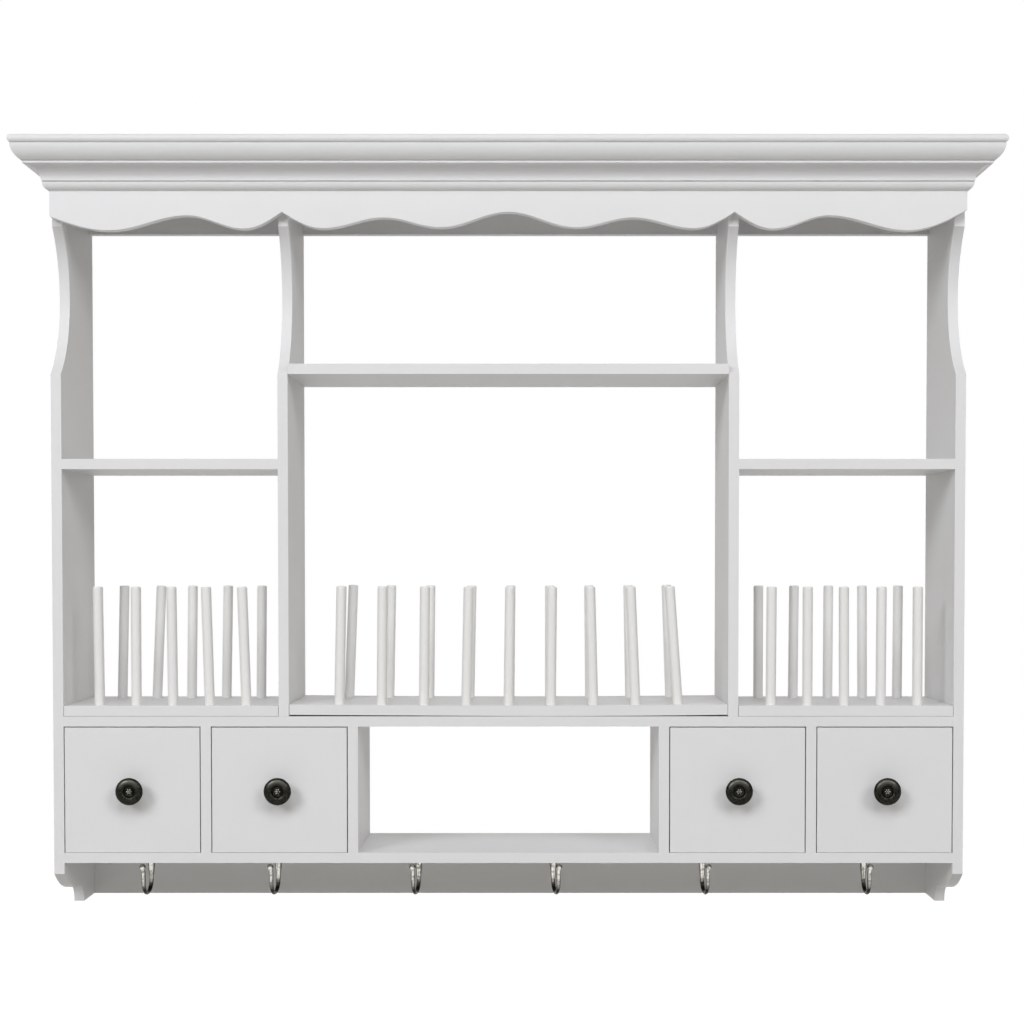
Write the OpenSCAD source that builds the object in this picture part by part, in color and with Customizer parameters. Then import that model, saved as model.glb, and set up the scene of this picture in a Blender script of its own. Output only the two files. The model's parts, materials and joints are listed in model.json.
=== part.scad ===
// Kitchen wall cabinet: open shelves, three loose plate racks, four drawers and a row of cup hooks.
// Heights are given above the underside of the bottom board. The finished part is then lowered
// so that its origin lies on the wall, midway between the outer pair of wall screws.
// X runs to the right, Y towards the wall and Z up. The wall is the plane Y = 0.

/* [Carcass] */
// Width across the two side panels
carcass_w = 1070; // [1040:5:1200]
// Depth of the carcass, from its front edges to the wall
carcass_d = 160; // [150:1:200]
// Thickness of the carcass boards
board_t = 12; // [10:0.5:14]
// Clear width of the centre bay, between the partitions
centre_bay_w = 516; // [480:2:560]
// Clear width of the open cubby, between its dividers
cubby_w = 354; // [320:2:380]
// Clear height of the drawer openings
drawer_bay_h = 149; // [130:1:170]
// Height of the side shelves' underside
side_shelf_z = 463; // [400:1:540]
// Height of the centre shelf's underside, where the uprights' scoop starts
centre_shelf_z = 574; // [540:1:580]
// Height of the uprights' top end, under the top board
upright_h = 832.5; // [800:0.5:880]
// Height of the top back rail, which takes the wall screws
top_rail_h = 70; // [55:1:75]
// Height of the bottom back rail, and the drop of the feet
bottom_rail_h = 62; // [61:0.5:80]
// Thickness of the thin panels behind the drawers
back_panel_t = 3; // [2.5:0.5:5]

/* [Curved edges of the uprights] */
// Radius of the scoop in the front edges
scoop_r = 117; // [110:1:125]
// Depth of the scoop
scoop_depth = 45; // [30:1:50]
// Straight stretch of the foot's front edge
foot_straight = 13; // [8:0.5:14]
// Drop of the foot's rounded shoulder
foot_shoulder_drop = 26.5; // [20:0.5:27]
// Length of that shoulder, front to back
foot_shoulder_run = 73; // [60:1:85]
// Radius of the cove in the foot
foot_cove_r = 21; // [18:0.5:21.5]

/* [Valance] */
// Thickness of the scalloped valance
valance_t = 12; // [9:0.5:15]
// Places of the wave's turns in the centre bay, as shares of the way to the partition
centre_turns = [0, 0.30, 0.55, 0.82, 1];
// Drop of the wave below the cornice at each of those turns
centre_drops = [24.5, 42.5, 31, 43.5, 24.5];
// Places of the wave's turns in a side bay, as shares of the way to the end
side_turns = [0.166, 0.406, 0.745];
// Drop of the wave below the cornice at each of those turns
side_drops = [44, 28.5, 46];
// Drop of the wave at the left and at the right end of the valance
end_drops = [29.5, 22];

/* [Cornice profile] */
// Projection of the whole cornice
cornice_p = 38.5; // [37.5:0.5:42]
// Radius of the roll along the top
roll_r = 5; // [4:0.25:6]
// Projection of the ovolo under the roll
ovolo_p = 36; // [35:0.25:36.5]
// Height of the ovolo
ovolo_h = 17.5; // [15:0.5:19]
// Run of the ovolo, from its top to its bottom edge
ovolo_run = 10; // [9:0.25:11.5]
// Height of the fillet
fillet_h = 3; // [2:0.25:5]
// Radius of the cove
cove_r = 17; // [14:0.25:17]
// Projection of the cove's lower edge
cove_p = 7.5; // [7:0.25:8]
// Height of the quirk between cove and bead
quirk_h = 1.5; // [0.8:0.1:2]
// Depth to which the quirk is cut back
quirk_cut = 1.3; // [0.5:0.1:2]
// Height of the bead along the bottom
bead_h = 9; // [7:0.25:10]
// Projection of the bead
bead_p = 6.8; // [5.5:0.1:7]

/* [Plate racks] */
// Thickness of the rack boards
rack_t = 12; // [11:0.5:14]
// Gap between a rack board and each bay wall
rack_side_gap = 0.5; // [0.3:0.1:2]
// Bow of the long centre rack board, raised at its ends
rack_bow = 1.6; // [1:0.1:2.5]
// Diameter of the rack dowels
dowel_d = 12; // [10:0.5:14]
// Length of dowel that stands above the board
dowel_stand = 140; // [120:1:160]
// Depth to which the dowels are seated
dowel_seat = 8; // [6:0.5:9]
// Dowels in each row of a side rack
side_dowels = 5; // [4:1:5]
// Pitch of the dowels in a side rack
side_pitch = 43.3; // [40:0.1:48]
// Dowels in each row of the centre rack
centre_dowels = 9; // [7:1:9]
// Pitch of the dowels in the centre rack
centre_pitch = 50; // [46:0.5:54]
// Distance from the carcass front to the front row of dowels
front_row = 14; // [12:1:24]
// Distance from the carcass front to the back row of dowels
back_row = 135; // [110:1:140]
// Lean of each dowel in degrees, to the right, front row then back row
lean_left = [[-0.7, 0, -0.6, -1.6, -1.9], [1.4, 2.5, 0.8, 1.1, 0.6]];
// The same for the centre rack
lean_centre = [[1.2, 0.6, 0.6, 1.2, 0.8, 0.5, -1.5, -2.5, -4.1], [2.2, 1.1, 0.6, 1.1, 0.5, 0, -0.5, -1, -2]];
// The same for the right rack
lean_right = [[0.3, 0, -0.3, 0.2, 0], [0, 0.4, 0.2, -0.4, 0.3]];

/* [Drawers] */
// Gap round a drawer front
front_gap = 1.2; // [1:0.1:2.5]
// Thickness of a drawer front
front_t = 12; // [10:0.5:15]
// Thickness of a drawer's sides and back
drawer_side_t = 9; // [8:0.5:12]
// Height of a drawer's sides and back
drawer_side_h = 118; // [90:1:120]
// Thickness of a drawer's bottom
drawer_bottom_t = 3; // [3:0.5:4]
// Height of the drawer's bottom above the lower edge of its sides
drawer_bottom_lift = 6; // [5:0.5:12]
// Depth of the grooves that hold the drawer's bottom
groove_d = 4; // [3:0.5:5]

/* [Knobs] */
// Diameter of a knob
knob_d = 32; // [30:0.5:36]
// Projection of a knob's rim from the drawer front
knob_h = 19; // [18:0.5:22]
// Diameter of the knob screws
knob_screw_d = 3.9; // [3.5:0.1:4.5]
// Length of thread inside the knob
knob_screw_grip = 7; // [5:0.5:8]

/* [Hooks] */
// Places of the six hooks, from the centre
hook_x = [-437, -282, -110.5, 53.5, 235.5, 432.5];
// Turn of each hook in degrees, seen from above
hook_turn = [7, 9, 10, -12, -8, -4];
// Distance from the carcass front to the hooks' shanks
hook_set_back = 80; // [60:1:110]
// Drop of a hook below the bottom board
hook_drop = 49; // [44:0.5:58]
// Diameter of the hook wire
wire_d = 5; // [4:0.25:5.5]
// Reach from the middle of the shank to the middle of the arm
hook_reach = 30; // [24:0.5:32]
// Height of the arm's straight stretch
hook_arm = 10; // [6:0.5:12]

/* [Fastenings] */
// Distance from the uprights' top end down to the wall screws
screw_drop = 24.5; // [18:0.5:30]
// Distance between the outer pair of wall screws
outer_screw_span = 920; // [860:5:960]
// Distance between the inner pair of wall screws
inner_screw_span = 300; // [200:5:400]
// Diameter of the wall screw holes
wall_hole_d = 5.5; // [4.5:0.1:6.5]
// Diameter of the countersinks
countersink_d = 10.5; // [9:0.5:12]
// Diameter of the joint pins
pin_d = 6; // [5:0.25:7]
// Depth of a joint pin in the face of a board
pin_face = 8; // [6:0.5:8.5]
// Depth of a joint pin in the end of a board
pin_end = 16; // [12:0.5:20]
// Distance of the joint pins from the front and the back of the carcass
pin_inset = 32; // [26:1:45]

/* [Hidden] */
$fn = 48;

// Cutters run past the faces they open by this much
over = 1;
// Running gap under what slides on a board
glide_gap = 0.3;
// Gap round a glued pin, dowel or screw, and at a pin's ends
snug = 0.05;
pin_end_gap = 0.5;
// Gap round a panel in its groove
groove_gap = 0.1;
// Gap between a closed drawer and the panel that stops it
stop_gap = 0.3;
// Gap between a rack board and the wall
rack_wall_gap = 1;

// Levels above the underside of the bottom board
deck_z = board_t + drawer_bay_h;
deck_top = deck_z + board_t;
top_z = upright_h + board_t;
top_rail_z = upright_h - top_rail_h;
screw_line_z = upright_h - screw_drop;
cornice_h = 2 * roll_r + ovolo_h + fillet_h + cove_r + quirk_h + bead_h;
cornice_z = top_z - cornice_h;

// Places across the width, measured from the centre
half_w = carcass_w / 2;
side_x = half_w - board_t;
bay_x = centre_bay_w / 2;
partition_x = bay_x + board_t / 2;
cubby_x = cubby_w / 2;
cubby_divider_x = cubby_x + board_t / 2;
drawer_open_w = (side_x - cubby_x - 2 * board_t) / 2;
drawer_divider_x = side_x - drawer_open_w - board_t / 2;
inner_drawer_x = cubby_x + board_t + drawer_open_w / 2;
outer_drawer_x = side_x - drawer_open_w / 2;
drawer_x = [-outer_drawer_x, -inner_drawer_x, inner_drawer_x, outer_drawer_x];

// Places front to back
front_y = -carcass_d;
head_y = front_y + valance_t;
pin_ys = [front_y + pin_inset, -pin_inset];
rail_y = -board_t / 2;

// The uprights' scoop, which meets the valance's seat at lip_z, and the feet
scoop_y = front_y - scoop_r + scoop_depth;
scoop_z = centre_shelf_z + sqrt(pow(scoop_r, 2) - pow(front_y - scoop_y, 2));
lip_z = scoop_z + sqrt(pow(scoop_r, 2) - pow(head_y - scoop_y, 2));
shoulder_y = front_y + foot_shoulder_run;
shoulder_z = -foot_straight - foot_shoulder_drop;
shoulder_r = (pow(foot_shoulder_run, 2) + pow(foot_shoulder_drop, 2)) / (2 * foot_shoulder_drop);

// The valance's turns, each with its place, its drop, and 1 where the edge is a sharp cusp
wave_steps = 10;
function wave(side) = concat(
  [for (i = [0:len(centre_turns) - 1])
    [centre_turns[i] * partition_x, centre_drops[i], i == len(centre_turns) - 1 ? 1 : 0]],
  [for (i = [0:len(side_turns) - 1])
    [partition_x + side_turns[i] * (half_w - partition_x), side_drops[i], 0]],
  [[half_w, end_drops[side < 0 ? 0 : 1], 1]]
);

// The plate racks
rack_z = deck_top + glide_gap;
side_rack_x = (bay_x + board_t + side_x) / 2;
side_rack_w = side_x - bay_x - board_t - 2 * rack_side_gap;
centre_rack_w = centre_bay_w - 2 * rack_side_gap;
bow_steps = 16;

// The drawers
drawer_w = drawer_open_w - 2 * front_gap;
drawer_front_h = drawer_bay_h - front_gap - glide_gap;
drawer_side_z = board_t + glide_gap;
drawer_side_y = front_y + front_t;
drawer_back_y = -back_panel_t - stop_gap;
drawer_floor_z = drawer_side_z + drawer_bottom_lift;
drawer_inner_w = drawer_w - 2 * drawer_side_t;
knob_z = board_t + drawer_bay_h / 2;
knob_bore_depth = knob_screw_grip + 1;
knob_r = knob_d / 2;
screw_head_d = 2.1 * knob_screw_d;
screw_head_h = 0.6 * knob_screw_d;

// The knobs' turned form: foot and hollow neck, a rim bead, and a domed ring round a sunk boss
knob_foot_r = 9;
knob_neck_r = 6.5;
knob_neck_z = 8;
rim_r = 1.6;
rim_z = knob_h - rim_r / 2;
dome_r = 5.9;
dome_inset = 5.4;
dome_mid = knob_r - dome_inset;
dome_z = knob_h + 2.7;
dish_r = dome_mid - sqrt(pow(dome_r, 2) - pow(rim_z - dome_z + dome_r, 2));
dish_z = knob_h - 1.8;
boss_r = 3.7;
button_r = 1.8;

// The hooks: collar and neck, radius of the bend, height of its centre, and the flared tip's ball
collar_r = 8;
collar_t = 1.2;
neck_r = 4.4;
neck_drop = 12;
bend_r = hook_reach / 2;
bend_z = -hook_drop + bend_r + wire_d / 2;
flare_r = 14;
flare_angle = 40;
tip_r = 3.8;
hook_screw_d = 4;
hook_screw_l = 9;

paint = [0.91, 0.91, 0.90];
dowel_wood = [0.90, 0.89, 0.84];
panel_white = [0.86, 0.86, 0.84];
bronze = [0.22, 0.21, 0.19];
nickel = [0.74, 0.73, 0.71];
zinc = [0.62, 0.63, 0.64];
beech = [0.80, 0.68, 0.50];

// Lowers a piece from its height above the bottom board to the part's own frame
module hung() {
  translate([0, 0, -screw_line_z]) children();
}

// A box from its two corners
module block(low, high) {
  translate(low) cube(high - low);
}

// Extrudes an outline drawn in Y and Z, over a board's thickness, with its middle at x
module upright_board(x, t) {
  translate([x - t / 2, 0, 0]) rotate([90, 0, 90]) linear_extrude(t) children();
}

// One joint pin, or its bore, along +Z: it sits pin_face deep below z = 0 and pin_end above
module pin(gap, end_gap) {
  translate([0, 0, -pin_face - end_gap])
    cylinder(d = pin_d + 2 * gap, h = pin_face + pin_end + 2 * end_gap);
}

// Pins from the face of an upright at x into the end of a board that runs off along dir
module pins_across(x, dir, z, ys, gap = 0, end_gap = 0) {
  for (y = ys) translate([x, y, z]) rotate([0, 90 * dir, 0]) pin(gap, end_gap);
}

// Pins from the face of a level board at z into the end of an upright that runs off along dir
module pins_up(x, dir, z, gap = 0, end_gap = 0) {
  for (y = pin_ys) translate([x, y, z]) rotate([dir > 0 ? 0 : 180, 0, 0]) pin(gap, end_gap);
}

// Pins between one side panel and the boards and rails that end on it
module side_panel_pins(side, gap = 0, end_gap = 0) {
  for (z = [board_t / 2, deck_z + board_t / 2, side_shelf_z + board_t / 2])
    pins_across(side * side_x, -side, z, pin_ys, gap, end_gap);
  for (z = [top_rail_z + top_rail_h / 4, top_rail_z + top_rail_h * 3 / 4, -bottom_rail_h / 4,
            -bottom_rail_h * 3 / 4])
    pins_across(side * side_x, -side, z, [rail_y], gap, end_gap);
}

// Pins between one partition and the shelves that end on it
module partition_pins(side, gap = 0, end_gap = 0) {
  pins_across(side * bay_x, -side, centre_shelf_z + board_t / 2, pin_ys, gap, end_gap);
  pins_across(side * (bay_x + board_t), side, side_shelf_z + board_t / 2, pin_ys, gap, end_gap);
}

// Pins from the deck board up into the partitions
module deck_pins(gap = 0, end_gap = 0) {
  for (x = [-partition_x, partition_x]) pins_up(x, 1, deck_top, gap, end_gap);
}

// Pins from the top board down into the four uprights
module top_pins(gap = 0, end_gap = 0) {
  for (x = [-half_w + board_t / 2, -partition_x, partition_x, half_w - board_t / 2])
    pins_up(x, -1, upright_h, gap, end_gap);
}

// Pins at the feet and the heads of the dividers between the drawers and the cubby
module divider_foot_pins(gap = 0, end_gap = 0) {
  for (x = [-drawer_divider_x, -cubby_divider_x, cubby_divider_x, drawer_divider_x])
    pins_up(x, 1, board_t, gap, end_gap);
}

module divider_head_pins(gap = 0, end_gap = 0) {
  for (x = [-drawer_divider_x, -cubby_divider_x, cubby_divider_x, drawer_divider_x])
    pins_up(x, -1, deck_z, gap, end_gap);
}

// What the scoop, and above it the valance's seat, take out of an upright's front edge
module front_cut() {
  intersection() {
    translate([scoop_y, scoop_z]) circle(r = scoop_r, $fn = 128);
    translate([front_y - over, centre_shelf_z - over])
      square([scoop_depth + 2 * over, lip_z - centre_shelf_z + over]);
  }
  translate([front_y - over, lip_z]) square([valance_t + over, upright_h - lip_z + over]);
}

// Outline of a side panel, with its foot: a straight stretch, a rounded shoulder and a cove
module side_outline() {
  difference() {
    union() {
      translate([front_y, -foot_straight]) square([carcass_d, upright_h + foot_straight]);
      intersection() {
        translate([shoulder_y, shoulder_z + shoulder_r]) circle(r = shoulder_r, $fn = 128);
        translate([front_y, shoulder_z]) square([foot_shoulder_run, foot_shoulder_drop]);
      }
      translate([shoulder_y, -bottom_rail_h]) square([-shoulder_y, bottom_rail_h - foot_straight]);
    }
    front_cut();
    translate([shoulder_y, shoulder_z - foot_cove_r]) circle(r = foot_cove_r, $fn = 64);
  }
}

module side_panel(side) {
  color(paint) hung() difference() {
    upright_board(side * (half_w - board_t / 2), board_t) side_outline();
    side_panel_pins(side, snug, pin_end_gap);
    top_pins(snug, pin_end_gap);
  }
}

// Outline of a partition, notched at the back for the top rail
module partition_outline() {
  difference() {
    translate([front_y, deck_top]) square([carcass_d, upright_h - deck_top]);
    front_cut();
    translate([-board_t, top_rail_z]) square([board_t + over, top_rail_h + over]);
  }
}

module partition(side) {
  color(paint) hung() difference() {
    upright_board(side * partition_x, board_t) partition_outline();
    partition_pins(side, snug, pin_end_gap);
    deck_pins(snug, pin_end_gap);
    top_pins(snug, pin_end_gap);
  }
}

module top_board() {
  color(paint) hung() difference() {
    block([-half_w, head_y, upright_h], [half_w, 0, top_z]);
    top_pins(snug, pin_end_gap);
  }
}

// The rail that the wall screws pass through, countersunk from the front
module top_back_rail() {
  sink_h = (countersink_d - wall_hole_d) / 2;
  color(paint) hung() difference() {
    block([-side_x, -board_t, top_rail_z], [side_x, 0, upright_h]);
    for (span = [outer_screw_span, inner_screw_span], side = [-1, 1])
      translate([side * span / 2, over, screw_line_z]) rotate([90, 0, 0]) {
        cylinder(d = wall_hole_d, h = board_t + 2 * over);
        translate([0, 0, over + board_t - sink_h])
          cylinder(d1 = wall_hole_d, d2 = countersink_d + 2 * over, h = sink_h + over);
      }
    for (side = [-1, 1]) side_panel_pins(side, snug, pin_end_gap);
  }
}

module bottom_back_rail() {
  color(paint) hung() difference() {
    block([-side_x, -board_t, -bottom_rail_h], [side_x, 0, 0]);
    for (side = [-1, 1]) side_panel_pins(side, snug, pin_end_gap);
  }
}

module bottom_board() {
  color(paint) hung() difference() {
    block([-side_x, front_y, 0], [side_x, 0, board_t]);
    for (side = [-1, 1]) side_panel_pins(side, snug, pin_end_gap);
    divider_foot_pins(snug, pin_end_gap);
    for (x = hook_x) translate([x, front_y + hook_set_back, -over])
      cylinder(d = hook_screw_d + 2 * snug, h = over + hook_screw_l + pin_end_gap);
  }
}

module deck_board() {
  color(paint) hung() difference() {
    block([-side_x, front_y, deck_z], [side_x, 0, deck_top]);
    for (side = [-1, 1]) side_panel_pins(side, snug, pin_end_gap);
    deck_pins(snug, pin_end_gap);
    divider_head_pins(snug, pin_end_gap);
  }
}

module side_shelf(side) {
  x = side * side_rack_x;
  w = side_x - bay_x - board_t;
  color(paint) hung() difference() {
    block([x - w / 2, front_y, side_shelf_z], [x + w / 2, 0, side_shelf_z + board_t]);
    side_panel_pins(side, snug, pin_end_gap);
    partition_pins(side, snug, pin_end_gap);
  }
}

module shelf_centre() {
  color(paint) hung() difference() {
    block([-bay_x, front_y, centre_shelf_z], [bay_x, 0, centre_shelf_z + board_t]);
    for (side = [-1, 1]) partition_pins(side, snug, pin_end_gap);
  }
}

// One stretch of the wave at share t: half a cosine, or a quarter where it runs into a cusp
function ease(t) = (1 - cos(180 * t)) / 2;
function into_cusp(t) = 1 - cos(90 * t);
function wave_point(a, b, t) =
  let (k = b[2] == 1 ? into_cusp(t) : a[2] == 1 ? 1 - into_cusp(1 - t) : ease(t))
  [a[0] + (b[0] - a[0]) * t, cornice_z - a[1] - (b[1] - a[1]) * k];
function wave_half(side) =
  let (turns = wave(side), last = len(turns) - 1)
  concat(
    [for (i = [0:last - 1], j = [0:wave_steps - 1]) wave_point(turns[i], turns[i + 1], j / wave_steps)],
    [[half_w, cornice_z - turns[last][1]]]
  );

module valance_board() {
  right = wave_half(1);
  mirrored = wave_half(-1);
  left = [for (i = [len(mirrored) - 1:-1:1]) [-mirrored[i][0], mirrored[i][1]]];
  color(paint) hung() translate([0, head_y, 0]) rotate([90, 0, 0]) linear_extrude(valance_t)
    polygon(concat(left, right, [[half_w, top_z], [-half_w, top_z]]));
}

// Section of the cornice: projection from the wall of the cabinet, and height above its lower edge
module cornice_profile() {
  cove_z = bead_h + quirk_h;
  fillet_z = cove_z + cove_r;
  ovolo_z = fillet_z + fillet_h;
  roll_z = ovolo_z + ovolo_h;
  ovolo_r = (ovolo_h * ovolo_h + ovolo_run * ovolo_run) / (2 * ovolo_run);
  intersection() {
    translate([bead_p - bead_h, bead_h]) circle(r = bead_h);
    square([bead_p, bead_h]);
  }
  translate([0, bead_h - over]) square([bead_p - quirk_cut, quirk_h + over]);
  difference() {
    translate([0, cove_z]) square([cove_p + cove_r, cove_r]);
    translate([cove_p + cove_r, cove_z]) circle(r = cove_r);
  }
  translate([0, fillet_z]) square([cove_p + cove_r, fillet_h]);
  intersection() {
    translate([ovolo_p - ovolo_r, roll_z]) circle(r = ovolo_r);
    translate([0, ovolo_z]) square([ovolo_p, ovolo_h]);
  }
  translate([0, roll_z]) square([cornice_p - roll_r, 2 * roll_r]);
  translate([cornice_p - roll_r, roll_z + roll_r]) circle(r = roll_r);
}

// The front length, cut to a mitre at both ends
module cornice_front() {
  reach = half_w + cornice_p;
  color(paint) hung() intersection() {
    translate([-reach, front_y, cornice_z]) rotate([90, 0, 90]) linear_extrude(2 * reach)
      mirror([1, 0]) cornice_profile();
    translate([0, 0, cornice_z - over]) linear_extrude(cornice_h + 2 * over)
      polygon([[-half_w, front_y], [half_w, front_y], [reach, front_y - cornice_p],
               [-reach, front_y - cornice_p]]);
  }
}

// One return along a side panel, cut to the same mitre
module cornice_return(side) {
  reach = half_w + cornice_p;
  color(paint) hung() mirror([side < 0 ? 1 : 0, 0, 0]) intersection() {
    translate([half_w, 0, cornice_z]) rotate([90, 0, 0]) linear_extrude(cornice_p - front_y)
      cornice_profile();
    translate([0, 0, cornice_z - over]) linear_extrude(cornice_h + 2 * over)
      polygon([[half_w, front_y], [half_w, 0], [reach, 0], [reach, front_y - cornice_p]]);
  }
}

// A divider under the deck board; those beside a drawer pair stop short of the thin back panel
module divider(x, back_y) {
  color(paint) hung() difference() {
    block([x - board_t / 2, front_y, board_t], [x + board_t / 2, back_y, deck_z]);
    divider_foot_pins(snug, pin_end_gap);
    divider_head_pins(snug, pin_end_gap);
  }
}

// The thin panel that closes a pair of drawer openings and stops the drawers
module drawer_bay_back(side) {
  low = side > 0 ? cubby_x + board_t : -side_x;
  color(panel_white) hung()
    block([low, -back_panel_t, board_t], [low + side_x - cubby_x - board_t, 0, deck_z]);
}

module carcass_pins() {
  color(beech) hung() {
    for (side = [-1, 1]) {
      side_panel_pins(side);
      partition_pins(side);
    }
    deck_pins();
    top_pins();
    divider_foot_pins();
    divider_head_pins();
  }
}

// A shouldered cup hook: screw, collar, tapered shank, half-round bend, arm and ball tip
module hook_form() {
  cylinder(d = hook_screw_d, h = hook_screw_l);
  rotate_extrude() polygon([[0, 0], [collar_r, 0], [collar_r, -collar_t], [neck_r, -neck_drop],
                            [wire_d / 2, bend_z], [0, bend_z]]);
  translate([bend_r, 0, bend_z]) rotate([-90, 0, 0])
    rotate_extrude(angle = 180) translate([bend_r, 0]) circle(d = wire_d, $fn = 24);
  translate([hook_reach, 0, bend_z]) cylinder(d = wire_d, h = hook_arm);
  translate([hook_reach + flare_r, 0, bend_z + hook_arm]) {
    mirror([1, 0, 0]) rotate([90, 0, 0])
      rotate_extrude(angle = flare_angle) translate([flare_r, 0]) circle(d = wire_d, $fn = 24);
    translate([-flare_r * cos(flare_angle), 0, flare_r * sin(flare_angle)]) sphere(r = tip_r, $fn = 24);
  }
}

module hook(n) {
  color(nickel) hung() translate([hook_x[n - 1], front_y + hook_set_back, 0])
    rotate([0, 0, -90 - hook_turn[n - 1]]) hook_form();
}

// Height to which the bow lifts a rack board at x, measured from the board's middle
function bow_lift(bow, w, x) = bow * pow(2 * x / w, 2);

// Sets out one dowel, or its bore, in a rack: children stand on the board's top face
module at_dowels(x, w, bow, count, pitch, leans) {
  for (row = [0, 1], i = [0:count - 1]) {
    dx = (i - (count - 1) / 2) * pitch;
    y = front_y + (row == 0 ? front_row : back_row);
    translate([x + dx, y, rack_z + rack_t + bow_lift(bow, w, dx)])
      rotate([0, leans[row][i], 0]) children();
  }
}

module rack_board(x, w, bow, count, pitch, leans) {
  steps = bow > 0 ? bow_steps : 1;
  under = [for (i = [0:steps]) let (dx = (i / steps - 0.5) * w) [dx, bow_lift(bow, w, dx)]];
  above = [for (i = [steps:-1:0]) [under[i][0], under[i][1] + rack_t]];
  color(paint) hung() difference() {
    translate([x, -rack_wall_gap, rack_z]) rotate([90, 0, 0])
      linear_extrude(carcass_d - rack_wall_gap) polygon(concat(under, above));
    at_dowels(x, w, bow, count, pitch, leans)
      translate([0, 0, -dowel_seat]) cylinder(d = dowel_d + 2 * snug, h = dowel_seat + over);
  }
}

// The dowels, rounded over at their tops
module rack_dowels(x, w, bow, count, pitch, leans) {
  r = dowel_d / 2;
  round_r = 2;
  color(dowel_wood) hung() at_dowels(x, w, bow, count, pitch, leans) rotate_extrude()
    difference() {
      translate([0, -dowel_seat]) square([r, dowel_seat + dowel_stand]);
      difference() {
        translate([r - round_r, dowel_stand - round_r]) square(round_r + over);
        translate([r - round_r, dowel_stand - round_r]) circle(r = round_r, $fn = 24);
      }
    }
}

module side_rack_board(side) {
  rack_board(side * side_rack_x, side_rack_w, 0, side_dowels, side_pitch, side < 0 ? lean_left : lean_right);
}

module side_rack_dowels(side) {
  rack_dowels(side * side_rack_x, side_rack_w, 0, side_dowels, side_pitch, side < 0 ? lean_left : lean_right);
}

module centre_rack_board() {
  rack_board(0, centre_rack_w, rack_bow, centre_dowels, centre_pitch, lean_centre);
}

module centre_rack_dowels() {
  rack_dowels(0, centre_rack_w, rack_bow, centre_dowels, centre_pitch, lean_centre);
}

// The drawer's bottom panel, or with a gap the groove that holds it
module drawer_bottom_form(n, gap) {
  reach = drawer_inner_w / 2 + groove_d - groove_gap + gap;
  x = drawer_x[n - 1];
  block([x - reach, drawer_side_y - groove_d + groove_gap - gap, drawer_floor_z - gap],
        [x + reach, drawer_back_y - drawer_side_t + groove_d - groove_gap + gap,
         drawer_floor_z + drawer_bottom_t + gap]);
}

module drawer_front(n) {
  x = drawer_x[n - 1];
  color(paint) hung() difference() {
    block([x - drawer_w / 2, front_y, drawer_side_z],
          [x + drawer_w / 2, drawer_side_y, drawer_side_z + drawer_front_h]);
    drawer_bottom_form(n, groove_gap);
    translate([x, drawer_side_y + over, knob_z]) rotate([90, 0, 0])
      cylinder(d = knob_screw_d + 0.5, h = front_t + 2 * over);
  }
}

module drawer_sides(n) {
  x = drawer_x[n - 1];
  color(panel_white) hung() for (side = [-1, 1]) difference() {
    translate([x + side * (drawer_w - drawer_side_t) / 2 - drawer_side_t / 2, drawer_side_y, drawer_side_z])
      cube([drawer_side_t, drawer_back_y - drawer_side_y, drawer_side_h]);
    drawer_bottom_form(n, groove_gap);
  }
}

module drawer_back(n) {
  x = drawer_x[n - 1];
  color(panel_white) hung() difference() {
    block([x - drawer_inner_w / 2, drawer_back_y - drawer_side_t, drawer_side_z],
          [x + drawer_inner_w / 2, drawer_back_y, drawer_side_z + drawer_side_h]);
    drawer_bottom_form(n, groove_gap);
  }
}

module drawer_bottom(n) {
  color(panel_white) hung() drawer_bottom_form(n, 0);
}

// Section of a knob: radius, and height above the drawer front
module knob_profile() {
  difference() {
    union() {
      square([knob_foot_r, knob_neck_z]);
      translate([0, knob_neck_z]) square([knob_r - rim_r, rim_z - knob_neck_z]);
    }
    translate([knob_r, knob_neck_z]) circle(r = knob_r - knob_neck_r);
    translate([0, dish_z]) square([dish_r, rim_z - dish_z + over]);
  }
  intersection() {
    translate([dome_mid, dome_z - dome_r]) circle(r = dome_r);
    translate([dish_r, rim_z]) square([knob_r - dish_r, dome_z - rim_z]);
  }
  translate([knob_r - rim_r, rim_z]) circle(r = rim_r);
  square([boss_r, rim_z]);
}

// A cast knob: a domed ring round a dish, and a boss with a button in the middle
module knob(n) {
  color(bronze) hung() translate([drawer_x[n - 1], front_y, knob_z]) rotate([90, 0, 0]) difference() {
    union() {
      rotate_extrude() knob_profile();
      translate([0, 0, rim_z]) sphere(r = button_r, $fn = 24);
    }
    translate([0, 0, -over]) cylinder(d = knob_screw_d + 2 * snug, h = knob_bore_depth + over);
  }
}

module knob_screw(n) {
  color(zinc) hung() translate([drawer_x[n - 1], drawer_side_y, knob_z]) rotate([90, 0, 0]) {
    cylinder(d = knob_screw_d, h = front_t + knob_screw_grip);
    translate([0, 0, -screw_head_h]) cylinder(d = screw_head_d, h = screw_head_h);
  }
}

side_panel(-1);  // side_panel_left
side_panel(1);  // side_panel_right
partition(-1);  // partition_left
partition(1);  // partition_right
top_board();
top_back_rail();
bottom_back_rail();
bottom_board();
deck_board();
side_shelf(-1);  // shelf_left
side_shelf(1);  // shelf_right
shelf_centre();
valance_board();
cornice_front();
cornice_return(-1);  // cornice_return_left
cornice_return(1);  // cornice_return_right
divider(-cubby_divider_x, 0);  // cubby_divider_left
divider(cubby_divider_x, 0);  // cubby_divider_right
divider(-drawer_divider_x, -back_panel_t);  // drawer_divider_left
divider(drawer_divider_x, -back_panel_t);  // drawer_divider_right
drawer_bay_back(-1);  // drawer_bay_back_left
drawer_bay_back(1);  // drawer_bay_back_right
carcass_pins();
hook(1);  // hook_1
hook(2);  // hook_2
hook(3);  // hook_3
hook(4);  // hook_4
hook(5);  // hook_5
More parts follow.
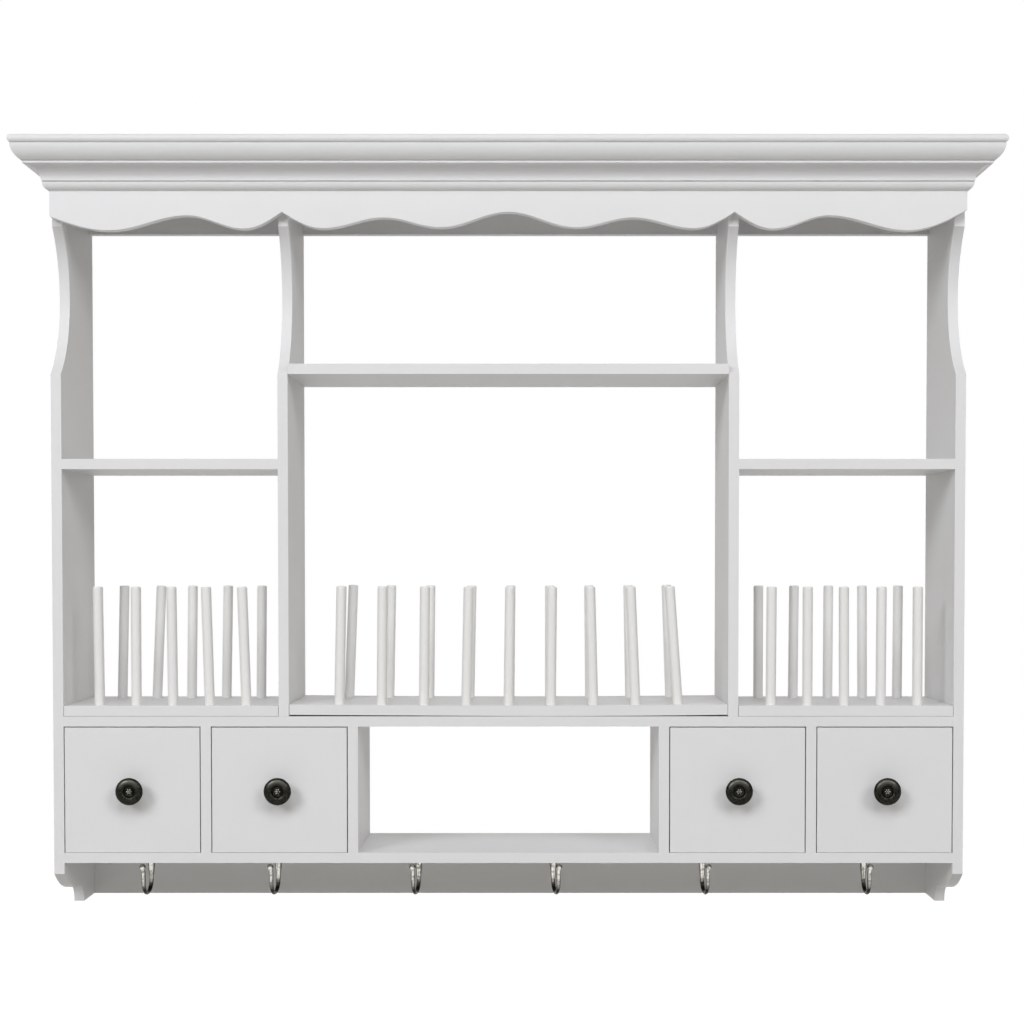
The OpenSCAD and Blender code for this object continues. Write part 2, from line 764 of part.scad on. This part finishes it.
hook(6);  // hook_6
side_rack_board(-1);  // rack_board_left
centre_rack_board();  // rack_board_centre
side_rack_board(1);  // rack_board_right
side_rack_dowels(-1);  // rack_dowels_left
centre_rack_dowels();  // rack_dowels_centre
side_rack_dowels(1);  // rack_dowels_right
drawer_front(1);  // drawer_1_front
drawer_sides(1);  // drawer_1_sides
drawer_back(1);  // drawer_1_back
drawer_bottom(1);  // drawer_1_bottom
knob(1);  // drawer_1_knob
knob_screw(1);  // drawer_1_knob_screw
drawer_front(2);  // drawer_2_front
drawer_sides(2);  // drawer_2_sides
drawer_back(2);  // drawer_2_back
drawer_bottom(2);  // drawer_2_bottom
knob(2);  // drawer_2_knob
knob_screw(2);  // drawer_2_knob_screw
drawer_front(3);  // drawer_3_front
drawer_sides(3);  // drawer_3_sides
drawer_back(3);  // drawer_3_back
drawer_bottom(3);  // drawer_3_bottom
knob(3);  // drawer_3_knob
knob_screw(3);  // drawer_3_knob_screw
drawer_front(4);  // drawer_4_front
drawer_sides(4);  // drawer_4_sides
drawer_back(4);  // drawer_4_back
drawer_bottom(4);  // drawer_4_bottom
knob(4);  // drawer_4_knob
knob_screw(4);  // drawer_4_knob_screw
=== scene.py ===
# %% [markdown]
# # A white kitchen wall cabinet
# The cabinet itself comes ready made: boards, dowels, drawers, knobs and hooks, each an exact solid
# in metres, with its back on the plane where Y is zero. This lesson dresses it. It mixes the
# lacquers and the old metals, eases the edges of the boards, turns the knobs and lights the whole
# thing like a catalogue photograph.

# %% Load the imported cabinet
import json
import math
import bpy
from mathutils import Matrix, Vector


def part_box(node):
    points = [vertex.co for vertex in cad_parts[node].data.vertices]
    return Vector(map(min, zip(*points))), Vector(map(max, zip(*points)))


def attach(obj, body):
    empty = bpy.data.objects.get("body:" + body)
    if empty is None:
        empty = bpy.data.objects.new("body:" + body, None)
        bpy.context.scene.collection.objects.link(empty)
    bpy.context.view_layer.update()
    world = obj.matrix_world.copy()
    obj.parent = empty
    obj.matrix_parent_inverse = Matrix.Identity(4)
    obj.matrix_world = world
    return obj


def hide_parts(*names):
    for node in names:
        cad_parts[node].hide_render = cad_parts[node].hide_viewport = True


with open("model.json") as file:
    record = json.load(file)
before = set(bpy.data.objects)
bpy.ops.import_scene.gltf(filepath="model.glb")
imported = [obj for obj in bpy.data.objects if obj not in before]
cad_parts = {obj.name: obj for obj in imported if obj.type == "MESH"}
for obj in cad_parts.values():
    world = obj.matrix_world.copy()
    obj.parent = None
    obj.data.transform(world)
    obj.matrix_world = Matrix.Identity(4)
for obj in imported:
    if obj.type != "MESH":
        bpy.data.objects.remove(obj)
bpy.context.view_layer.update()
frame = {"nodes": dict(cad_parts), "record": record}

mm = 0.001
print("nodes:", len(frame["nodes"]))

# %% [markdown]
# ## The camera first
# The photograph was taken with a long lens from straight ahead, a little below the middle of the
# cabinet, and tipped down by less than two degrees. Its frame was then cropped off centre, which a
# small lens shift repeats without changing the perspective. The numbers were found by laying the
# cabinet's straight edges over the picture.

# %% Camera
camera_place = (25.7 * mm, -2318.2 * mm, -457.5 * mm)
degrees_down = 1.72
focal_length_mm = 64.70
sensor_width_mm = 36
crop_shift = (-0.0179, 0.1060)

camera_data = bpy.data.cameras.new("camera")
camera_data.sensor_width = sensor_width_mm
camera_data.lens = focal_length_mm
camera_data.shift_x, camera_data.shift_y = crop_shift
camera = bpy.data.objects.new("camera", camera_data)
bpy.context.scene.collection.objects.link(camera)
camera.location = camera_place
camera.rotation_euler = (math.radians(90 - degrees_down), 0, 0)
bpy.context.scene.camera = camera
print("camera at", [round(v, 3) for v in camera.location])

# %% [markdown]
# ## Small helpers
# A colour picked on a screen is an sRGB value, while a shader wants linear light, so every hex
# colour passes through one function, which holds the sRGB standard's own constants. The other
# helpers add a node together with its settings and its links, fill in the sockets of a node that is
# there already, and start a material, so that each material below reads as a short list.

# %% Helpers for colours and nodes
def linear(hex_colour):
    parts = [int(hex_colour[i:i + 2], 16) / 255 for i in (1, 3, 5)]
    return [c / 12.92 if c <= 0.04045 else ((c + 0.055) / 1.055) ** 2.4 for c in parts] + [1.0]


def fill_sockets(tree, node, inputs):
    for name, value in inputs.items():
        if isinstance(value, bpy.types.NodeSocket):
            tree.links.new(value, node.inputs[name])
        else:
            node.inputs[name].default_value = value


def add_node(tree, kind, inputs=None, **settings):
    made = tree.nodes.new("ShaderNode" + kind)
    for name, value in settings.items():
        setattr(made, name, value)
    fill_sockets(tree, made, inputs or {})
    return made


def new_material(name):
    made = bpy.data.materials.new(name)
    made.use_nodes = True
    tree = made.node_tree
    shader = tree.nodes["Principled BSDF"]
    coords = add_node(tree, "TexCoord").outputs["Object"]
    return made, tree, shader, coords


print("mid grey in linear light:", [round(c, 3) for c in linear("#808080")[:3]])

# %% [markdown]
# ## White lacquer on smooth board
# The boards are medium-density fibreboard under a sprayed satin lacquer. The spray leaves a very
# fine orange peel, about a millimetre and a half from dimple to dimple, and the white and its
# sheen wander a little from one pass of the spray gun to the next. A picture of a sprayed board
# could be laid over each piece, but noise counted in the object's own metres fits every board and
# shows no seams. A board's cut edges drink more lacquer, but on the real cabinet they are sanded
# and sprayed again, so one finish serves for faces and edges.

# %% Satin lacquer
def satin_lacquer():
    made, tree, shader, coords = new_material("satin_lacquer_on_fibreboard")
    clouds_per_metre = 9.0
    dimples_per_metre = 650.0
    cloud = add_node(tree, "TexNoise", {
        "Vector": coords, "Scale": clouds_per_metre, "Detail": 3.0, "Roughness": 0.55})
    tint = add_node(tree, "MixRGB", {
        "Fac": cloud.outputs["Fac"], "Color1": linear("#E2E2E2"), "Color2": linear("#E7E7E7")})
    sheen = add_node(tree, "MapRange", {
        "Value": cloud.outputs["Fac"], "To Min": 0.48, "To Max": 0.58})
    peel = add_node(tree, "TexNoise", {"Vector": coords, "Scale": dimples_per_metre, "Detail": 1.0})
    bump = add_node(tree, "Bump", {
        "Height": peel.outputs["Fac"], "Strength": 0.05, "Distance": 0.1 * mm})
    fill_sockets(tree, shader, {
        "Base Color": tint.outputs["Color"], "Roughness": sheen.outputs["Result"],
        "Normal": bump.outputs["Normal"], "IOR": 1.45})
    return made


lacquer = satin_lacquer()
print("made", lacquer.name)

# %% [markdown]
# ## Lacquered dowels
# The rack dowels are turned beech under one thinner and glossier coat, so a trace of the warm wood
# and of its long grain comes through. The fibres are drawn a millimetre and a half apart, and their
# noise is stretched twenty-five times along Z, because the grain runs along each dowel.

# %% Thin lacquer over turned wood
def dowel_lacquer():
    made, tree, shader, coords = new_material("thin_lacquer_on_turned_beech")
    fibres_per_metre = 700.0
    along_dowel = (1.0, 1.0, 0.04)
    along = add_node(tree, "Mapping", {"Vector": coords, "Scale": along_dowel})
    grain = add_node(tree, "TexNoise", {
        "Vector": along.outputs["Vector"], "Scale": fibres_per_metre, "Detail": 3.0,
        "Roughness": 0.6})
    tint = add_node(tree, "MixRGB", {
        "Fac": grain.outputs["Fac"], "Color1": linear("#E9E9E6"), "Color2": linear("#F2F2F0")})
    bump = add_node(tree, "Bump", {
        "Height": grain.outputs["Fac"], "Strength": 0.12, "Distance": 0.1 * mm})
    fill_sockets(tree, shader, {
        "Base Color": tint.outputs["Color"], "Normal": bump.outputs["Normal"],
        "Roughness": 0.36})
    return made


dowel_finish = dowel_lacquer()
print("made", dowel_finish.name)

# %% [markdown]
# ## The drawer boxes and the thin backs
# Their board is faced with a white paper foil, a touch greyer and flatter than the lacquer. Its
# printed pores are a little over two millimetres apart.

# %% White foil on thin board
def foil_on_board():
    made, tree, shader, coords = new_material("white_foil_on_thin_board")
    pores_per_metre = 420.0
    pores = add_node(tree, "TexNoise", {"Vector": coords, "Scale": pores_per_metre, "Detail": 2.0})
    tint = add_node(tree, "MixRGB", {
        "Fac": pores.outputs["Fac"], "Color1": linear("#DEDEDA"), "Color2": linear("#E6E6E3")})
    bump = add_node(tree, "Bump", {
        "Height": pores.outputs["Fac"], "Strength": 0.08, "Distance": 0.1 * mm})
    fill_sockets(tree, shader, {
        "Base Color": tint.outputs["Color"], "Normal": bump.outputs["Normal"], "Roughness": 0.5})
    return made


foil = foil_on_board()
print("made", foil.name)

# %% [markdown]
# ## Bronze for the knobs
# The knobs are cast, pickled nearly black and waxed. On the upper half of the ring, where it faces
# forwards and a little up, a lighter colour is painted in: a painted highlight, standing in for
# the reflection of a soft light in front. Such a patch could be painted on each knob. Here the
# object's own normal tells which way the surface faces, and its Z tells the upper half from the
# lower, because all four knobs sit at one height.

# %% Where the painted highlight lies
# Painted highlight: a lighter colour on the ring's upper front stands in for a reflected soft light.
thumb_side = (-0.1, -0.97, 0.22)
thumb_facing = (0.86, 1.0)
knob_lowest, knob_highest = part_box("drawer_1_knob")
knob_middle = (knob_lowest[2] + knob_highest[2]) / 2
thumb_heights = (knob_middle + 2 * mm, knob_middle + 10 * mm)
print("the thumb rests between heights", [round(h, 3) for h in thumb_heights])

# %% [markdown]
# The patina lies in patches of two millimetres or so, over a casting skin with grains of about one,
# and it leaves little of the metal's mirror. Fingers have rubbed the rosette in the middle back to
# bright metal. Both bronzes are one recipe with other colours, so one function makes them.

# %% Blackened and rubbed bronze
def cast_bronze(name, dark, light, thumbed, gloss):
    made, tree, shader, coords = new_material(name)
    patches_per_metre = 420.0
    grains_per_metre = 1100.0
    patina = add_node(tree, "TexNoise", {
        "Vector": coords, "Scale": patches_per_metre, "Detail": 4.0, "Roughness": 0.65})
    patches = add_node(tree, "MapRange", {
        "Value": patina.outputs["Fac"], "From Min": 0.35, "From Max": 0.65})
    tint = add_node(tree, "MixRGB", {
        "Fac": patches.outputs["Result"], "Color1": linear(dark), "Color2": linear(light)})
    normal = add_node(tree, "TexCoord").outputs["Normal"]
    facing = add_node(tree, "VectorMath", {0: normal, 1: thumb_side}, operation="DOT_PRODUCT")
    height = add_node(tree, "SeparateXYZ", {"Vector": coords}).outputs["Z"]
    # Painted highlight, mixed in where the ring faces forwards and up, on its upper half.
    upper = add_node(tree, "MapRange", {
        "Value": height, "From Min": thumb_heights[0], "From Max": thumb_heights[1]})
    thumb = add_node(tree, "MapRange", {
        "Value": facing.outputs["Value"], "From Min": thumb_facing[0], "From Max": thumb_facing[1],
        "To Max": upper.outputs["Result"]})
    thinned = add_node(tree, "MixRGB", {
        "Fac": thumb.outputs["Result"], "Color1": tint.outputs["Color"],
        "Color2": linear(thumbed)})
    rough = add_node(tree, "MapRange", {
        "Value": patina.outputs["Fac"], "To Min": gloss, "To Max": gloss + 0.15})
    skin = add_node(tree, "TexNoise", {"Vector": coords, "Scale": grains_per_metre, "Detail": 2.0})
    bump = add_node(tree, "Bump", {
        "Height": skin.outputs["Fac"], "Strength": 0.5, "Distance": 0.12 * mm})
    fill_sockets(tree, shader, {
        "Base Color": thinned.outputs["Color"], "Roughness": rough.outputs["Result"],
        "Normal": bump.outputs["Normal"], "Metallic": 1.0})
    return made


# The third colour of each bronze is its painted highlight.
bronze = cast_bronze("blackened_cast_bronze", "#0E0F0D", "#2E2E2A", "#4E4C47", 0.24)
rubbed = cast_bronze("rubbed_cast_bronze", "#55534B", "#A5A297", "#C2BFB4", 0.2)
print("made", bronze.name, "and", rubbed.name)

# %% [markdown]
# ## Old nickel on the hooks
# The hook wire was nickel plated and polished, and its bright nickel varies in spots four
# millimetres apart. In the lowest third of the hook the colour is painted almost black: a painted
# dark reflection, standing in for the dark surroundings mirrored in the bend. On the flanks, where
# the object's own normal points along X, the colour is painted darker too, a painted dark
# reflection of the sides. The height on the hook is read from the object's own Z, because every
# hook hangs at the same level. Three tints are mixed one over the other: the spotted nickel, the
# painted dark flanks and the painted black bend.

# %% Nickel plate, with painted dark reflections on the flanks and at the bend
def worn_nickel(bend_bottom):
    made, tree, shader, coords = new_material("nickel_plated_wire_painted_dark_at_the_bend")
    spots_per_metre = 260.0
    worn_up_to = bend_bottom + 8 * mm
    whole_from = bend_bottom + 22 * mm
    spots = add_node(tree, "TexNoise", {"Vector": coords, "Scale": spots_per_metre, "Detail": 3.0})
    spotted = add_node(tree, "MapRange", {
        "Value": spots.outputs["Fac"], "From Min": 0.34, "From Max": 0.54})
    bright = add_node(tree, "MixRGB", {
        "Fac": spotted.outputs["Result"], "Color1": linear("#7B7973"),
        "Color2": linear("#D0CEC8")})
    # Painted dark reflection: the flanks, where the normal points along X, are darkened.
    normal = add_node(tree, "TexCoord").outputs["Normal"]
    across = add_node(tree, "SeparateXYZ", {"Vector": normal}).outputs["X"]
    sideways = add_node(tree, "Math", {0: across}, operation="ABSOLUTE")
    flank = add_node(tree, "MapRange", {
        "Value": sideways.outputs[0], "From Min": 0.35, "From Max": 0.85})
    tarnished = add_node(tree, "MixRGB", {
        "Fac": flank.outputs["Result"], "Color1": bright.outputs["Color"],
        "Color2": linear("#4E4C46")})
    # Painted dark reflection: the lowest part of the hook is painted almost black.
    height = add_node(tree, "SeparateXYZ", {"Vector": coords}).outputs["Z"]
    worn = add_node(tree, "MapRange", {
        "Value": height, "From Min": worn_up_to, "From Max": whole_from,
        "To Min": 1.0, "To Max": 0.0})
    tint = add_node(tree, "MixRGB", {
        "Fac": worn.outputs["Result"], "Color1": tarnished.outputs["Color"],
        "Color2": linear("#1E1D1B")})
    rough = add_node(tree, "MapRange", {
        "Value": spots.outputs["Fac"], "To Min": 0.1, "To Max": 0.26})
    fill_sockets(tree, shader, {
        "Base Color": tint.outputs["Color"], "Roughness": rough.outputs["Result"],
        "Metallic": 1.0})
    return made


hook_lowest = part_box("hook_1")[0]
nickel = worn_nickel(hook_lowest[2])
print("made", nickel.name)

# %% [markdown]
# ## Zinc plate
# The knob screws are bright zinc-plated steel: a pale, slightly blue metal whose crystals are too
# fine to see and are drawn a millimetre across, as a faint change of gloss.

# %% Zinc plate
def zinc_plate():
    made, tree, shader, coords = new_material("bright_zinc_plated_steel")
    crystals_per_metre = 900.0
    crystals = add_node(tree, "TexVoronoi", {"Vector": coords, "Scale": crystals_per_metre})
    rough = add_node(tree, "MapRange", {
        "Value": crystals.outputs["Distance"], "To Min": 0.25, "To Max": 0.4})
    fill_sockets(tree, shader, {
        "Base Color": linear("#C4C8CC"), "Roughness": rough.outputs["Result"], "Metallic": 1.0})
    return made


zinc = zinc_plate()
print("made", zinc.name)

# %% [markdown]
# ## Beech pins
# Plain beech pins hold the boards together, out of sight. Their bare wood has straight grain, drawn
# two millimetres from fibre to fibre and stretched along X, the way that half of the pins lie. The
# other half stand upright, and since none is seen, one grain serves for all.

# %% Bare beech
def bare_beech():
    made, tree, shader, coords = new_material("bare_beech")
    fibres_per_metre = 500.0
    along_pin = (0.06, 1.0, 1.0)
    along = add_node(tree, "Mapping", {"Vector": coords, "Scale": along_pin})
    grain = add_node(tree, "TexNoise", {
        "Vector": along.outputs["Vector"], "Scale": fibres_per_metre, "Detail": 3.0})
    tint = add_node(tree, "MixRGB", {
        "Fac": grain.outputs["Fac"], "Color1": linear("#B98F63"), "Color2": linear("#D9B98F")})
    fill_sockets(tree, shader, {"Base Color": tint.outputs["Color"], "Roughness": 0.6})
    return made


beech = bare_beech()
print("made", beech.name)

# %% [markdown]
# ## Finishes by slot
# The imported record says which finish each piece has, so one table turns its slots into materials.
# The pieces could be told apart by their names, but the record knows them already.

# %% Dress the cabinet
finish_of_slot = {
    "white_lacquer": lacquer, "dowel_lacquer": dowel_finish, "drawer_board": foil,
    "dark_bronze": bronze, "nickel_wire": nickel, "zinc_screw": zinc, "beech_pins": beech,
}
slot_of_node = {row["node"]: row["material_slot"] for row in frame["record"]["subparts"]}
for name, thing in frame["nodes"].items():
    thing.data.materials.clear()
    thing.data.materials.append(finish_of_slot[slot_of_node[name]])
print("dressed", len(slot_of_node), "nodes")

# %% [markdown]
# ## Eased edges
# No sprayed board has a knife edge: sanding leaves a radius of about three quarters of a
# millimetre, and that is what catches the light along every front edge. The shading alone could
# pretend it, but a real bevel also holds in the outline and in the exported mesh. A CAD mesh
# arrives as loose triangles, so it is first welded and its flat faces are dissolved to single
# faces, and then every edge sharper than forty degrees is bevelled. The cornice keeps its own
# moulded edges.

# %% Ease the boards' edges
sanded_radius = 0.7 * mm


def ease_edges(board):
    weld = board.modifiers.new("weld", "WELD")
    weld.merge_threshold = 0.01 * mm
    flat = board.modifiers.new("flat_faces", "DECIMATE")
    flat.decimate_type = "DISSOLVE"
    flat.angle_limit = math.radians(0.5)
    bevel = board.modifiers.new("eased_edge", "BEVEL")
    bevel.width = sanded_radius
    bevel.segments = 2
    bevel.limit_method = "ANGLE"
    bevel.angle_limit = math.radians(40)
    even = board.modifiers.new("even_normals", "WEIGHTED_NORMAL")
    even.keep_sharp = True


eased = [name for name in frame["nodes"]
         if slot_of_node[name] in ("white_lacquer", "drawer_board")
         and not name.startswith("cornice")]
for name in eased:
    ease_edges(frame["nodes"][name])
print("eased", len(eased), "boards")

# %% [markdown]
# ## The knobs
# Each knob is a turned mushroom: foot, hollow neck, a rounded rim and a broad domed ring that falls
# into a small dish. Its outline is written as pairs of radius and height over the drawer front, in
# millimetres. It starts at the end of the screw's bore and runs out over the foot and round to the
# dish. An arc is given by its centre, its radius, its first and last angle and its number of steps,
# and the steps are short, so that smooth shading has something to follow.

# %% Outline of the knob
def arc(centre, radius, start, end, steps):
    points = []
    for i in range(steps + 1):
        a = math.radians(start + (end - start) * i / steps)
        points.append((centre[0] + radius * math.cos(a), centre[1] + radius * math.sin(a)))
    return points


bore_and_foot = [(2.0, 8.0), (2.0, 0.0), (8.6, 0.0), (9.0, 0.4), (9.0, 1.4)]
neck = arc((16.0, 8.0), 9.5, 222, 112, 12)
rim = arc((14.4, 18.2), 1.6, -70, 50, 6)
dome = arc((10.6, 15.8), 5.9, 42, 132, 12)
dish = [(5.9, 18.6), (5.6, 17.6), (5.0, 17.2), (3.9, 17.2), (3.7, 17.5), (3.7, 18.3), (3.2, 18.8)]
knob_outline = bore_and_foot + neck + rim + dome + dish
print("knob outline:", len(knob_outline), "points")

# %% [markdown]
# A turned shape could be a curve that is screwed round its axis. Here it grows as on a potter's
# wheel: one filled circle at the end of the bore, which is extruded and resized ring after ring.
# That leaves a closed skin, with the circle as its last face under the rosette.

# %% Turn one knob
def turned(name, outline, vertices):
    bpy.ops.object.select_all(action="DESELECT")
    radius, height = outline[0]
    bpy.ops.mesh.primitive_circle_add(
        vertices=vertices, radius=radius * mm, fill_type="NGON", location=(0, 0, height * mm))
    made = bpy.context.object
    made.name = name
    bpy.ops.object.transform_apply(location=True)
    bpy.ops.object.mode_set(mode="EDIT")
    for wide, high in outline[1:]:
        rise = (0, 0, (high - height) * mm)
        bpy.ops.mesh.extrude_region_move(TRANSFORM_OT_translate={"value": rise})
        bpy.ops.transform.resize(value=(wide / radius, wide / radius, 1))
        radius, height = wide, high
    bpy.ops.mesh.select_all(action="SELECT")
    bpy.ops.mesh.normals_make_consistent(inside=False)
    bpy.ops.object.mode_set(mode="OBJECT")
    return made


knob = turned("knob_turned", knob_outline, 64)
knob.data.materials.append(bronze)
print("turned knob:", len(knob.data.polygons), "faces")

# %% [markdown]
# ## The rosette in the dish
# A raised rosette of six petals round a button fills the dish, and its small faces give the bright
# sparkle in the middle of each knob. It could be a bump in the material, but then the exported knob
# would lose it. One petal is a small ball, drawn out along its length and flattened. It is copied
# five times round the middle, and the button joins their inner ends.

# %% Model the rosette
petal_count = 6
petal_radius, petal_place, petal_stretch = 1.0, (2.35, 0, 18.7), (1.25, 0.85, 0.8)
button_radius, button_place, button_stretch = 1.15, (0, 0, 19.3), (1, 1, 0.8)


def ball(name, radius, place, stretch):
    bpy.ops.object.select_all(action="DESELECT")
    bpy.ops.mesh.primitive_uv_sphere_add(segments=16, ring_count=10, radius=radius * mm)
    made = bpy.context.object
    made.name = name
    bpy.ops.object.mode_set(mode="EDIT")
    bpy.ops.mesh.select_all(action="SELECT")
    bpy.ops.transform.resize(value=stretch)
    bpy.ops.transform.translate(value=[v * mm for v in place])
    bpy.ops.object.mode_set(mode="OBJECT")
    return made


def turn_mesh(degrees, axis):
    bpy.ops.object.mode_set(mode="EDIT")
    bpy.ops.mesh.select_all(action="SELECT")
    bpy.ops.transform.rotate(value=math.radians(degrees), orient_axis=axis,
                             center_override=(0, 0, 0))
    bpy.ops.object.mode_set(mode="OBJECT")


petals = [ball("petal", petal_radius, petal_place, petal_stretch)]
for i in range(1, petal_count):
    bpy.ops.object.select_all(action="DESELECT")
    petals[0].select_set(True)
    bpy.context.view_layer.objects.active = petals[0]
    bpy.ops.object.duplicate()
    turn_mesh(360 / petal_count * i, "Z")
    petals.append(bpy.context.object)
button = ball("button", button_radius, button_place, button_stretch)
for part in petals + [button]:
    part.data.materials.append(rubbed)
print("rosette of", len(petals), "petals and a button")

# %% [markdown]
# Knob and rosette become one mesh, which still stands upright like a mushroom. With no window,
# Blender's rotate operator turns the other way round, so minus ninety degrees about X lays it down
# to point out of the drawer front, along minus Y.

# %% Join and lay down
bpy.ops.object.select_all(action="DESELECT")
for part in petals + [button, knob]:
    part.select_set(True)
bpy.context.view_layer.objects.active = knob
bpy.ops.object.join()
turn_mesh(-90, "X")
knob_tip = min(v.co.y for v in knob.data.vertices) / mm
print("knob reaches", round(knob_tip, 1), "mm along Y")

# %% [markdown]
# The finished knob is copied to the four drawers. Each copy has its own mesh, moved to the place of
# the plain knob that it stands for, and rides with its drawer.

# %% Fit the knobs
smooth_up_to = math.radians(38)


def fit_knob(number):
    low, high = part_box("drawer_%d_knob" % number)
    place = ((low[0] + high[0]) / 2, high[1], (low[2] + high[2]) / 2)
    fitted = bpy.data.objects.new("drawer_%d_cast_knob" % number, knob.data.copy())
    bpy.context.scene.collection.objects.link(fitted)
    bpy.ops.object.select_all(action="DESELECT")
    fitted.select_set(True)
    bpy.context.view_layer.objects.active = fitted
    bpy.ops.object.shade_smooth_by_angle(angle=smooth_up_to)
    fitted.location = place
    bpy.ops.object.transform_apply(location=True)
    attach(fitted, "drawer_%d" % number)
    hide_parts("drawer_%d_knob" % number)


for number in range(1, 5):
    fit_knob(number)
bpy.data.objects.remove(knob)
print("fitted four knobs")

# %% [markdown]
# ## The floor
# The cabinet hangs a metre above a plain pale floor, which keeps its soft shadow. To the camera and
# in reflections the floor also glows, so that it fades into the white background, and that glow
# lights nothing. A ray's path tells the two apart: the helper's socket is 1 for a ray that looks at
# a surface, straight or in a mirror or through glass, and 0 for one that gathers light.

# %% Floor
floor_width = 14
floor_level = -1.9
floor_glow = 0.9


def looking_ray(tree):
    path = add_node(tree, "LightPath")
    direct = add_node(tree, "Math", {
        0: path.outputs["Is Camera Ray"], 1: path.outputs["Is Glossy Ray"]}, operation="MAXIMUM")
    looking = add_node(tree, "Math", {
        0: direct.outputs[0], 1: path.outputs["Is Transmission Ray"]}, operation="MAXIMUM")
    return looking.outputs[0]


bpy.ops.object.select_all(action="DESELECT")
bpy.ops.mesh.primitive_plane_add(size=floor_width, location=(0, 0, floor_level))
floor = bpy.context.object
floor.name = "floor"
paper, tree, matt, _ = new_material("matt_white_paper")
fill_sockets(tree, matt, {"Base Color": linear("#CBCBC9"), "Roughness": 0.9})
level = add_node(tree, "Math", {0: looking_ray(tree), 1: floor_glow}, operation="MULTIPLY")
glow = add_node(tree, "Emission", {"Color": linear("#FFFFFF"), "Strength": level.outputs[0]})
sheet = add_node(tree, "AddShader", {0: matt.outputs[0], 1: glow.outputs[0]})
fill_sockets(tree, tree.nodes["Material Output"], {"Surface": sheet.outputs[0]})
floor.data.materials.append(paper)
print("floor laid at", floor_level)

# %% [markdown]
# ## The lamps
# Two large soft lamps stand far off in front, left and right, higher than the cornice, so that top
# and bottom get nearly the same light. The left one is the stronger, so each knob throws its one
# soft shadow to the lower right. A third hangs high in the middle and draws the cornice's moulding.
# A weak one behind keeps the back readable and reaches in through the open bays. Two weak ones with
# a narrow cone stand level with the cabinet, exactly in the plane of its side panels, so that they
# light the outer sides and hardly reach in. These three are hidden from reflections, so that the
# metal shows only the front lamps. All are a trace cooler than white.

# %% Lamps
lamp_tint = (0.94, 0.955, 1.0)
cabinet_middle = (0, 0, -0.4)
panel_middle = (0, -0.08, -0.4)
flank_distance = 4.5
flank_cone = math.radians(50)


def soft_lamp(name, place, aim, size, watts):
    data = bpy.data.lights.new(name, "AREA")
    data.shape = "DISK"
    data.size = size
    data.energy = watts
    data.color = lamp_tint
    lamp = bpy.data.objects.new(name, data)
    bpy.context.scene.collection.objects.link(lamp)
    lamp.location = place
    lamp.rotation_euler = (Vector(aim) - Vector(place)).to_track_quat("-Z", "Y").to_euler()
    return lamp


soft_lamp("left", place=(-3.3, -4.8, 2.3), aim=cabinet_middle, size=2.8, watts=172)
soft_lamp("right", place=(3.3, -4.8, 2.3), aim=cabinet_middle, size=2.8, watts=111)
soft_lamp("above", place=(0, -4.0, 3.2), aim=cabinet_middle, size=2.4, watts=65)
behind = soft_lamp("behind", place=(0, 4.5, -0.3), aim=cabinet_middle, size=1.6, watts=50)
behind.visible_glossy = False
for name, side, watts in (("left_flank", -1, 2.1), ("right_flank", 1, 2.7)):
    place = (side * flank_distance, panel_middle[1], panel_middle[2])
    flank = soft_lamp(name, place, aim=panel_middle, size=0.4, watts=watts)
    flank.data.spread = flank_cone
    flank.visible_glossy = False
print("lamps set")

# %% [markdown]
# ## Light from all round
# What reaches the shelves from all round is dim and warm, so the fronts come out neutral and the
# insides a little yellow. A ray that looks past the cabinet sees white instead, which adds no light.
# Standard is the view in which a colour comes out as it was written.

# %% World
world = bpy.data.worlds.new("world")
bpy.context.scene.world = world
world.use_nodes = True
tree = world.node_tree
tree.nodes.clear()
ambient = add_node(tree, "Background", {"Color": linear("#FFEBC9"), "Strength": 0.13})
white = add_node(tree, "Background", {"Color": linear("#FFFFFF"), "Strength": 1.0})
mix = add_node(tree, "MixShader", {
    0: looking_ray(tree), 1: ambient.outputs[0], 2: white.outputs[0]})
add_node(tree, "OutputWorld", {"Surface": mix.outputs[0]})
bpy.context.scene.view_settings.view_transform = "Standard"
print("background set")
